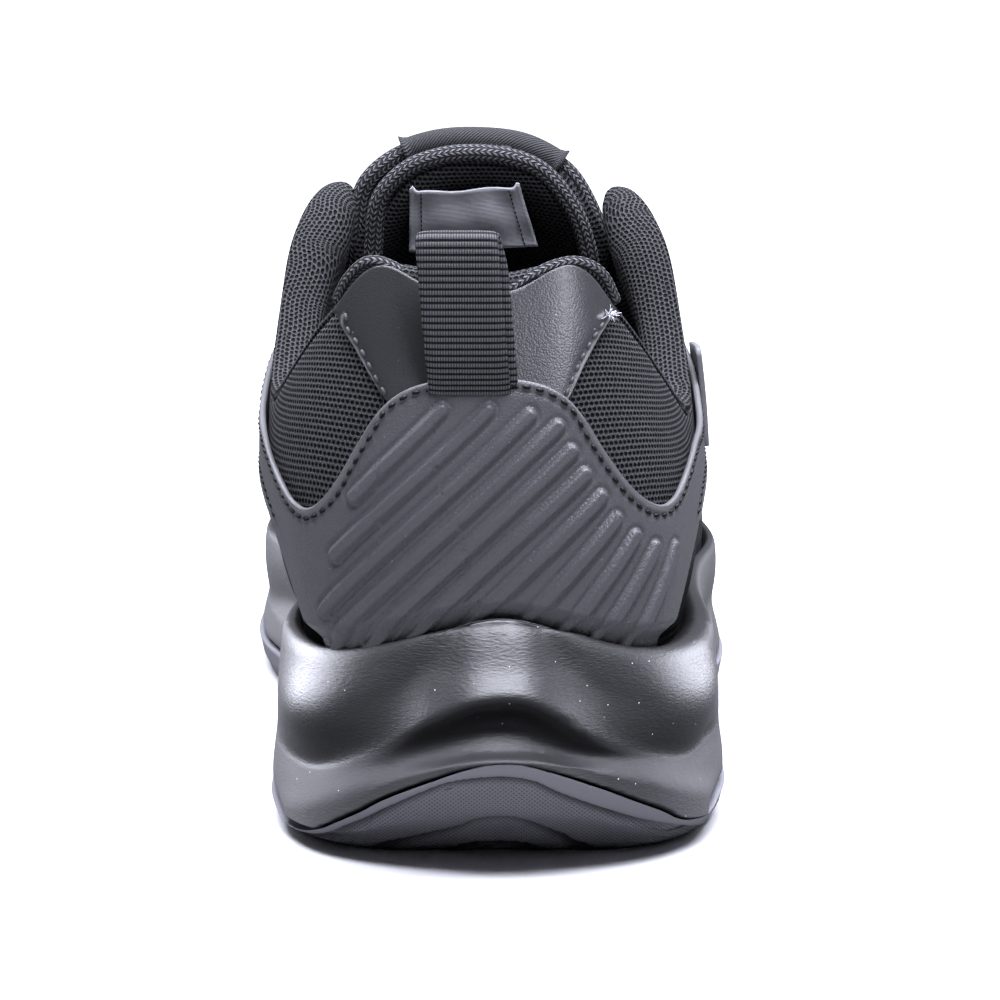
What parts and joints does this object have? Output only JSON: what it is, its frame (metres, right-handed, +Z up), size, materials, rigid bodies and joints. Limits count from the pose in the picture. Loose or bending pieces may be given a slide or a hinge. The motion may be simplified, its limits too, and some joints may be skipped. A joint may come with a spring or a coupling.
{
  "type": "low-cut trainer",
  "caption": "Chunky low-cut lace-up trainer for the right foot: sculpted foam sole on stepped rubber, mesh upper, padded collar and tongue, ribbed heel counter and a pull loop.",
  "frame": {"origin": "middle of the bounding box, on the plane that the heel and the forefoot stand on", "axes": "+Y along the shoe from heel to toe, +X to the outer side of the foot, +Z up"},
  "size_m": [0.1108, 0.3022, 0.135],
  "materials": {
    "rubber": "matte grey, finely textured",
    "foam": "satin black moulded foam with a fine leather grain",
    "mesh": "black sandwich mesh",
    "grain": "dark grey grained synthetic leather",
    "knit": "black padded knit",
    "webbing": "black ribbed webbing",
    "label": "bare grey woven label",
    "tag": "matte grey",
    "eyelet": "plain black rings"
  },
  "bodies": {
    "root": {"outsole": "rubber", "midsole": "foam", "insole": "knit", "upper": "mesh", "collar_lining": "knit", "heel_counter": "grain", "heel_tab": "grain", "toe_cap": "grain", "eyestay_lateral": "grain", "eyestay_medial": "grain", "side_tag": "tag", "tongue": "knit", "tongue_tab": "webbing", "tongue_label": "label", "pull_loop": "webbing", "lace": "webbing", "eyelet_lateral_1": "eyelet", "eyelet_lateral_2": "eyelet", "eyelet_lateral_3": "eyelet", "eyelet_lateral_4": "eyelet", "eyelet_lateral_5": "eyelet", "eyelet_lateral_6": "eyelet", "eyelet_medial_1": "eyelet", "eyelet_medial_2": "eyelet", "eyelet_medial_3": "eyelet", "eyelet_medial_4": "eyelet", "eyelet_medial_5": "eyelet", "eyelet_medial_6": "eyelet"}
  },
  "joints": []
}
